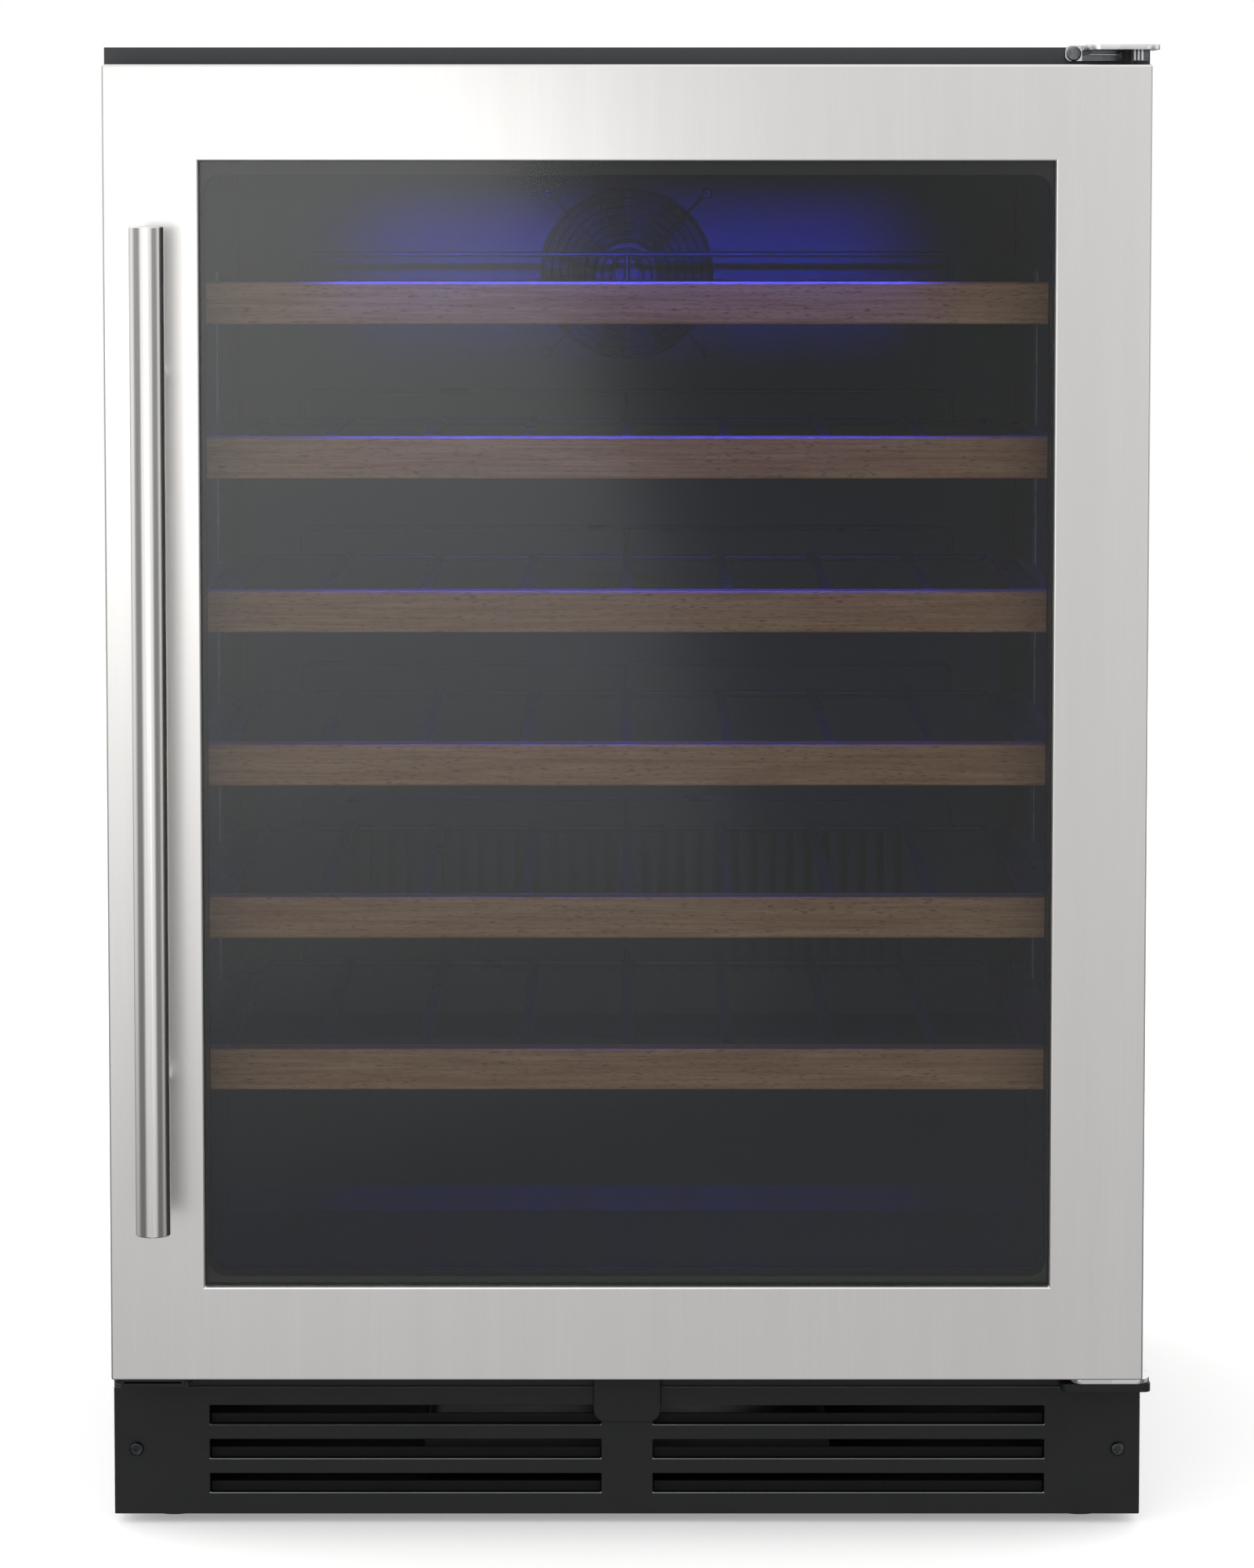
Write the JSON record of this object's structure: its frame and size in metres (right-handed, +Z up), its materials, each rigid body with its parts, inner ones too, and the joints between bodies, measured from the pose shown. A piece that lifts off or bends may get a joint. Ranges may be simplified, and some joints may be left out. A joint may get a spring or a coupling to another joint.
{
  "type": "wine cooler",
  "caption": "Under-counter wine cooler with a framed glass door, a bar handle, wire shelves with wooden fronts and a slotted kick plate.",
  "frame": {"origin": "on the floor under the middle of the cooler's bounding box", "axes": "+Z up, the door and handle face -Y, +X is to the viewer's right"},
  "size_m": [0.6, 0.6248, 0.855],
  "materials": {
    "charcoal_paint": "charcoal powder coat with a fine texture",
    "black_paint": "black satin powder coat",
    "galvanised_sheet": "plain galvanised sheet",
    "door_steel": "stainless, fine vertical brushing",
    "handle_steel": "stainless, satin polish",
    "zinc_plate": "bright zinc plate",
    "black_wire": "black coated steel wire",
    "beech": "clear lacquered beech",
    "liner_plastic": "dark moulded liner, satin",
    "black_plastic": "black moulded plastic",
    "foam": "rigid insulating foam",
    "seal_rubber": "black magnetic seal",
    "tinted_glass": "grey tinted pane",
    "display_glass": "smoked display window",
    "light_lens": "blue light lens",
    "fin_aluminium": "plain fins"
  },
  "bodies": {
    "cabinet": {"cabinet_shell": "charcoal_paint", "cross_rail": "black_paint", "kick_plate": "black_paint", "kick_screw_left": "black_paint", "kick_screw_right": "black_paint", "lower_hinge": "black_paint", "spare_bracket": "black_paint", "compressor": "black_paint", "condenser_coil": "black_paint", "rear_sheet": "galvanised_sheet", "machine_cover": "galvanised_sheet", "base_pan": "galvanised_sheet", "upper_hinge": "zinc_plate", "slide_rails_left": "zinc_plate", "slide_rails_right": "zinc_plate", "fan_grille": "black_wire", "inner_liner": "liner_plastic", "evaporator_cover": "liner_plastic", "kick_tab": "black_plastic", "evaporator_fan_frame": "black_plastic", "condenser_fan_frame": "black_plastic", "sensor_cover": "black_plastic", "control_housing": "black_plastic", "drip_tray": "black_plastic", "mains_inlet": "black_plastic", "insulation_foam": "foam", "display_lens": "display_glass", "led_lens": "light_lens", "evaporator_coil": "fin_aluminium"},
    "door": {"door_frame": "door_steel", "door_core": "black_plastic", "outer_glass": "tinted_glass", "inner_glass": "tinted_glass", "glazing_bead": "black_plastic", "door_gasket": "seal_rubber", "handle_bar": "handle_steel", "handle_post_upper": "handle_steel", "handle_post_lower": "handle_steel"},
    "shelf_1": {"shelf_fascia_1": "beech", "shelf_rack_1": "black_wire"},
    "shelf_2": {"shelf_fascia_2": "beech", "shelf_rack_2": "black_wire"},
    "shelf_3": {"shelf_fascia_3": "beech", "shelf_rack_3": "black_wire"},
    "shelf_4": {"shelf_fascia_4": "beech", "shelf_rack_4": "black_wire"},
    "shelf_5": {"shelf_fascia_5": "beech", "shelf_rack_5": "black_wire"},
    "shelf_6": {"shelf_fascia_6": "beech", "shelf_rack_6": "black_wire"},
    "evaporator_fan": {"evaporator_fan_rotor": "black_plastic"},
    "condenser_fan": {"condenser_fan_rotor": "black_plastic"},
    "button_power": {"button_power": "black_plastic"},
    "button_light": {"button_light": "black_plastic"},
    "button_cooler": {"button_cooler": "black_plastic"},
    "button_warmer": {"button_warmer": "black_plastic"},
    "foot_front_left": {"foot_front_left": "black_plastic"},
    "foot_front_right": {"foot_front_right": "black_plastic"},
    "foot_rear_left": {"foot_rear_left": "black_plastic"},
    "foot_rear_right": {"foot_rear_right": "black_plastic"}
  },
  "joints": [
    {"name": "door_hinge", "type": "hinge", "parent": "cabinet", "child": "door", "pos_m": [0.2825, -0.23763, 0], "axis": [0, 0, 1], "range_deg": [0, 105]},
    {"name": "shelf_slide_1", "type": "slide", "parent": "cabinet", "child": "shelf_1", "axis": [0, -1, 0], "range_m": [0, 0.33]},
    {"name": "shelf_slide_2", "type": "slide", "parent": "cabinet", "child": "shelf_2", "axis": [0, -1, 0], "range_m": [0, 0.33]},
    {"name": "shelf_slide_3", "type": "slide", "parent": "cabinet", "child": "shelf_3", "axis": [0, -1, 0], "range_m": [0, 0.33]},
    {"name": "shelf_slide_4", "type": "slide", "parent": "cabinet", "child": "shelf_4", "axis": [0, -1, 0], "range_m": [0, 0.33]},
    {"name": "shelf_slide_5", "type": "slide", "parent": "cabinet", "child": "shelf_5", "axis": [0, -1, 0], "range_m": [0, 0.33]},
    {"name": "shelf_slide_6", "type": "slide", "parent": "cabinet", "child": "shelf_6", "axis": [0, -1, 0], "range_m": [0, 0.33]},
    {"name": "evaporator_fan_spin", "type": "hinge", "parent": "cabinet", "child": "evaporator_fan", "pos_m": [0, 0.23217, 0.716], "axis": [0, 1, 0], "continuous": true},
    {"name": "condenser_fan_spin", "type": "hinge", "parent": "cabinet", "child": "condenser_fan", "pos_m": [-0.018, 0.23738, 0.0753], "axis": [1, 0, 0], "continuous": true},
    {"name": "press_power", "type": "slide", "parent": "cabinet", "child": "button_power", "axis": [0, 1, 0], "range_m": [0, 0.001], "stiffness_N_per_m": 400},
    {"name": "press_light", "type": "slide", "parent": "cabinet", "child": "button_light", "axis": [0, 1, 0], "range_m": [0, 0.001], "stiffness_N_per_m": 400},
    {"name": "press_cooler", "type": "slide", "parent": "cabinet", "child": "button_cooler", "axis": [0, 1, 0], "range_m": [0, 0.001], "stiffness_N_per_m": 400},
    {"name": "press_warmer", "type": "slide", "parent": "cabinet", "child": "button_warmer", "axis": [0, 1, 0], "range_m": [0, 0.001], "stiffness_N_per_m": 400},
    {"name": "level_front_left", "type": "slide", "parent": "cabinet", "child": "foot_front_left", "axis": [0, 0, -1], "range_m": [0, 0.015]},
    {"name": "level_front_right", "type": "slide", "parent": "cabinet", "child": "foot_front_right", "axis": [0, 0, -1], "range_m": [0, 0.015]},
    {"name": "level_rear_left", "type": "slide", "parent": "cabinet", "child": "foot_rear_left", "axis": [0, 0, -1], "range_m": [0, 0.015]},
    {"name": "level_rear_right", "type": "slide", "parent": "cabinet", "child": "foot_rear_right", "axis": [0, 0, -1], "range_m": [0, 0.015]}
  ],
  "couplings": [
    {"joint": "shelf_slide_1", "follows": "door_hinge", "m_per_rad": 0.055},
    {"joint": "shelf_slide_2", "follows": "door_hinge", "m_per_rad": 0.055},
    {"joint": "shelf_slide_3", "follows": "door_hinge", "m_per_rad": 0.055},
    {"joint": "shelf_slide_4", "follows": "door_hinge", "m_per_rad": 0.055},
    {"joint": "shelf_slide_5", "follows": "door_hinge", "m_per_rad": 0.055},
    {"joint": "shelf_slide_6", "follows": "door_hinge", "m_per_rad": 0.055}
  ]
}
